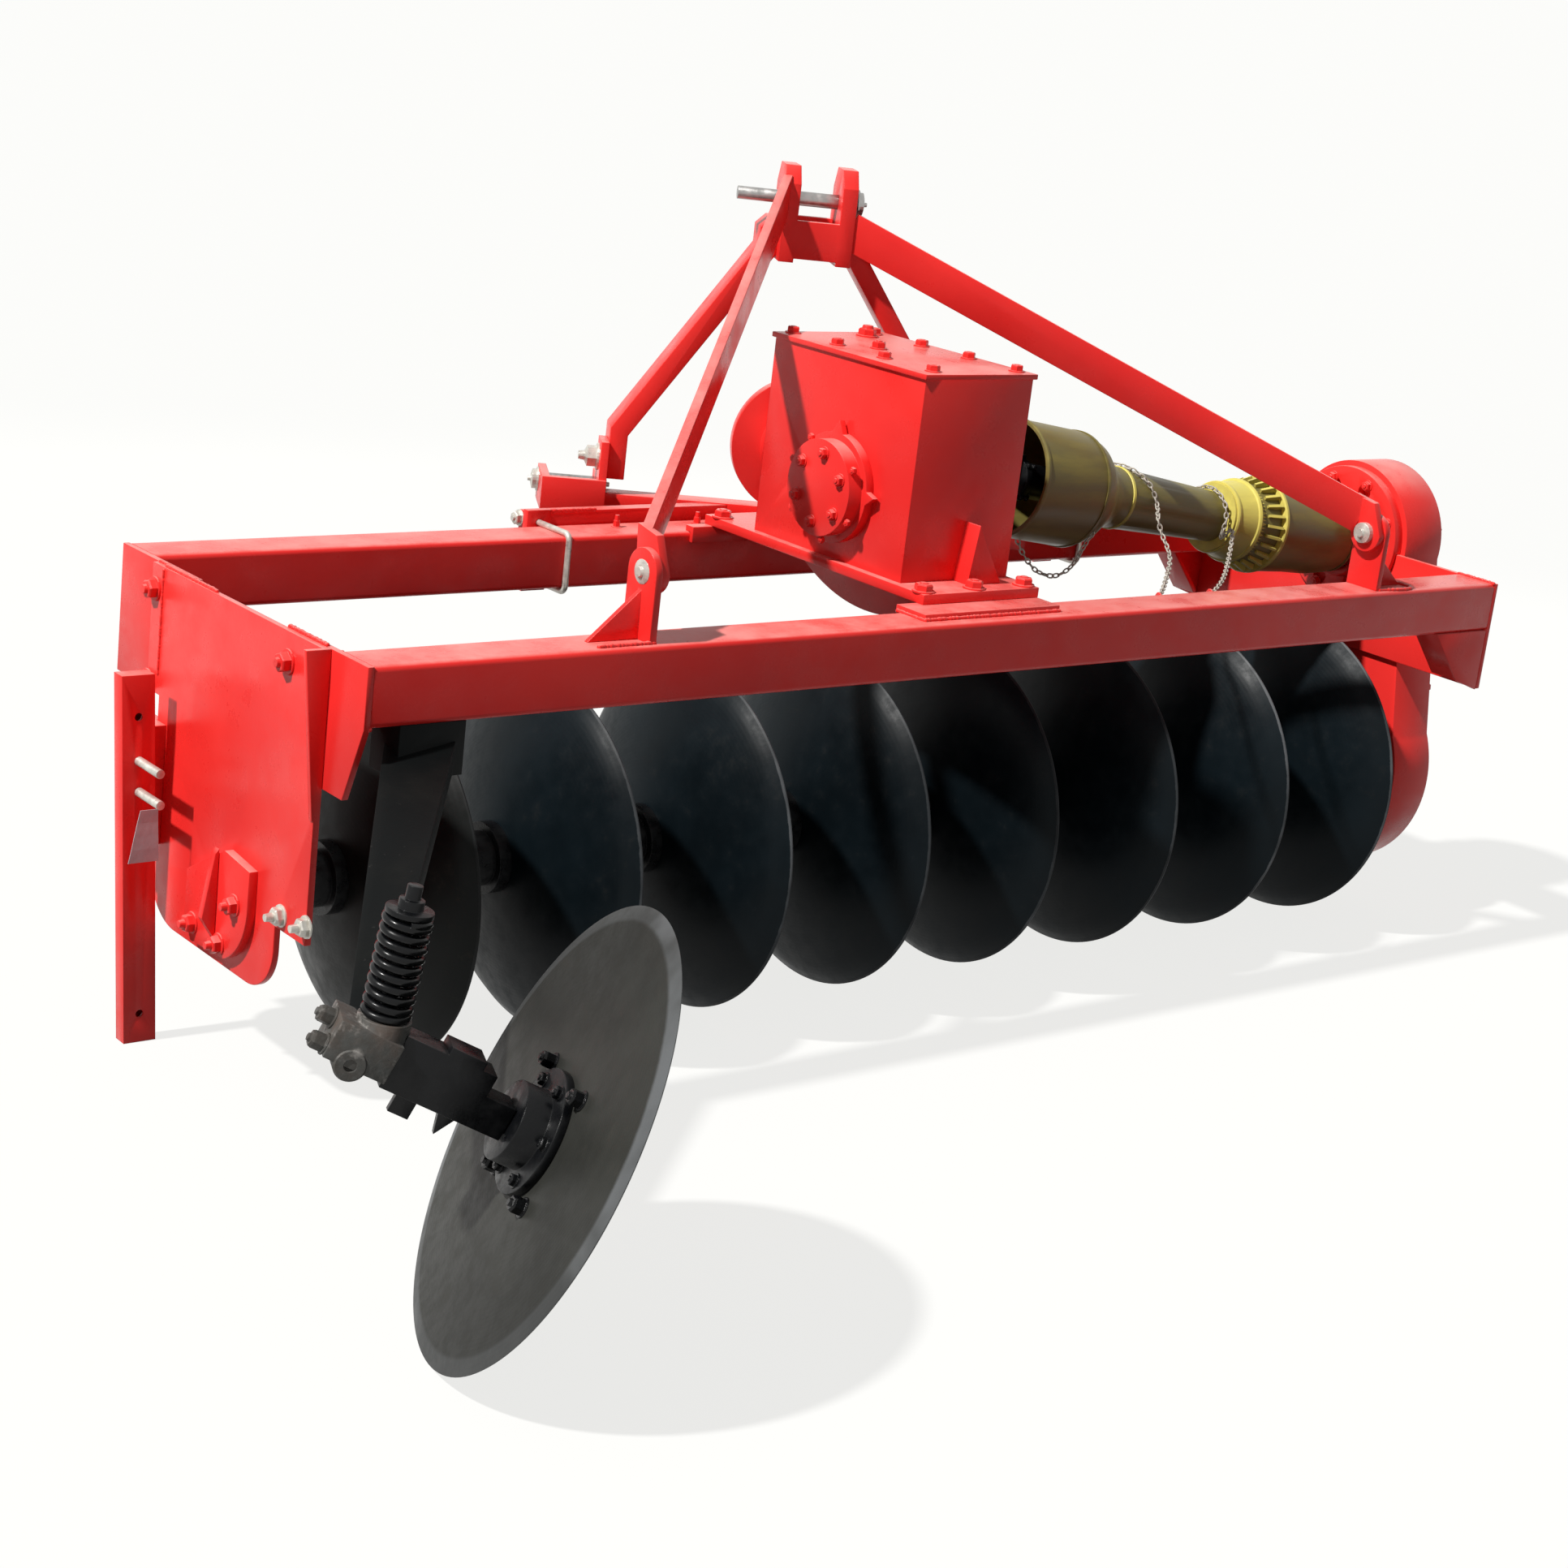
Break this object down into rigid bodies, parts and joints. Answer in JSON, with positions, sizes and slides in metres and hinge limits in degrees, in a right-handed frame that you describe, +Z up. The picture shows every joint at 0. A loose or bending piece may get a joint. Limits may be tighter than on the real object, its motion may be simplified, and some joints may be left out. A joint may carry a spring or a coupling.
{
  "type": "disc plough",
  "caption": "Powered disc plough: box-beam frame over a gang of driven discs, with a hitch mast, gearbox, guarded drive shaft, side case, sprung rear disc and sliding parking stand.",
  "frame": {"origin": "middle of the part's box, on the floor", "axes": "+X along the beams to the right, towards the side case; +Y forward; +Z up"},
  "size_m": [3.202, 2.1002, 1.534],
  "materials": {
    "red_paint": "semi-gloss paint",
    "disc_steel": "satin paint",
    "grey_steel": "satin paint",
    "black_paint": "satin paint",
    "bare_steel": "machined",
    "dark_steel": "oily",
    "zinc_steel": "zinc plated",
    "guard_plastic": "moulded"
  },
  "bodies": {
    "machine": {"brace_bracket_left": "red_paint", "brace_bracket_right": "red_paint", "drive_guard_left": "guard_plastic", "drive_guard_right": "guard_plastic", "front_beam": "red_paint", "gearbox_cover": "red_paint", "gearbox_foot": "red_paint", "gearbox_housing": "red_paint", "gearbox_pads": "red_paint", "gearbox_side_cap": "red_paint", "hitch_bar": "red_paint", "hitch_brace_left": "red_paint", "hitch_brace_right": "red_paint", "hitch_clamp_left": "zinc_steel", "hitch_clamp_right": "zinc_steel", "hitch_end_left": "red_paint", "hitch_end_right": "red_paint", "hitch_rail": "red_paint", "hitch_stay_right": "red_paint", "left_bearing": "red_paint", "left_bearing_cap": "red_paint", "left_front_plate": "red_paint", "left_rear_plate": "red_paint", "left_side_plate": "red_paint", "lower_link_pin_left": "bare_steel", "lower_link_pin_right": "bare_steel", "mast_head": "red_paint", "mast_strut_left": "red_paint", "mast_strut_right": "red_paint", "rear_beam": "red_paint", "right_front_gusset": "red_paint", "right_rear_gusset": "red_paint", "right_side_plate": "red_paint", "side_bearing_ring": "red_paint", "side_case": "red_paint", "stand_bracket": "red_paint", "tail_arm": "black_paint", "tail_axle": "black_paint", "tail_spring": "black_paint", "tail_yoke": "black_paint", "top_link_pin": "bare_steel"},
    "gang": {"gang_shaft": "black_paint", "gang_spools": "black_paint", "disc_1": "disc_steel", "disc_2": "disc_steel", "disc_3": "disc_steel", "disc_4": "disc_steel", "disc_5": "disc_steel", "disc_6": "disc_steel", "disc_7": "disc_steel", "disc_8": "disc_steel"},
    "output_stub": {"gearbox_output_stub": "dark_steel"},
    "drive": {"drive_shaft": "dark_steel"},
    "side_input": {"side_input_stub": "dark_steel"},
    "pto_input": {"pto_input_shaft": "bare_steel"},
    "tail_wheel": {"tail_disc": "grey_steel", "tail_hub": "black_paint"},
    "stand": {"stand_leg": "red_paint"}
  },
  "joints": [
    {"name": "gang_spin", "type": "hinge", "parent": "machine", "child": "gang", "pos_m": [-1.24698, 0.32388, 0.33], "axis": [1, 0, 0], "continuous": true},
    {"name": "side_input_spin", "type": "hinge", "parent": "machine", "child": "side_input", "pos_m": [1.35302, 0.32388, 0.84], "axis": [1, 0, 0], "continuous": true},
    {"name": "drive_shaft_spin", "type": "hinge", "parent": "machine", "child": "drive", "pos_m": [0.39302, 0.32388, 0.998], "axis": [0.9867, 0, -0.1624], "continuous": true},
    {"name": "output_spin", "type": "hinge", "parent": "machine", "child": "output_stub", "pos_m": [0.39302, 0.32388, 0.998], "axis": [1, 0, 0], "continuous": true},
    {"name": "pto_input_spin", "type": "hinge", "parent": "machine", "child": "pto_input", "pos_m": [0.09547, 0.58698, 1.016], "axis": [0.5, 0.866, 0], "continuous": true},
    {"name": "tail_disc_spin", "type": "hinge", "parent": "machine", "child": "tail_wheel", "pos_m": [-1.29198, -0.71912, 0.32162], "axis": [-0.8349, 0.3527, 0.4226], "continuous": true},
    {"name": "stand_slide", "type": "slide", "parent": "machine", "child": "stand", "axis": [-0.0572, 0, 0.9984], "range_m": [0, 0.3]}
  ],
  "couplings": [
    {"joint": "side_input_spin", "follows": "gang_spin", "ratio": 2.4},
    {"joint": "drive_shaft_spin", "follows": "gang_spin", "ratio": 2.4},
    {"joint": "output_spin", "follows": "gang_spin", "ratio": 2.4},
    {"joint": "pto_input_spin", "follows": "gang_spin", "ratio": 4.5}
  ]
}
